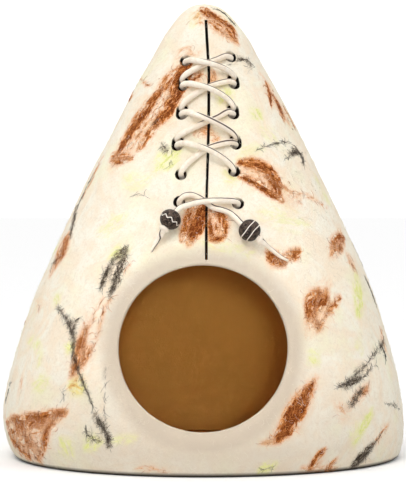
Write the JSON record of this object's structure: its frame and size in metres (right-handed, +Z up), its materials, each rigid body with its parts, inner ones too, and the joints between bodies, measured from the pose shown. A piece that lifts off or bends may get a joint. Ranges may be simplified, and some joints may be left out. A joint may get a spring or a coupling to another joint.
{
  "type": "felt cat cave",
  "caption": "Tall felted wool cat cave with a round entrance, a closed felt floor and a laced slit down the front; the lace ends carry clay beads.",
  "frame": {"origin": "on the surface that the cave stands on, under the middle of its widest section", "axes": "+Z up to the tip, -Y out of the entrance, +X to the right seen from the front"},
  "size_m": [0.422, 0.3926, 0.4754],
  "materials": {
    "felt": "cream hand-felted wool with wisps of rust, brown-grey and lime wool, ochre brown inside",
    "lace": "soft round cream cord with a thin seam",
    "clay": "dark fired clay with pale scratched lines"
  },
  "bodies": {
    "root": {"felt_shell": "felt", "lace": "lace", "bead_left": "clay", "bead_right": "clay"}
  },
  "joints": []
}
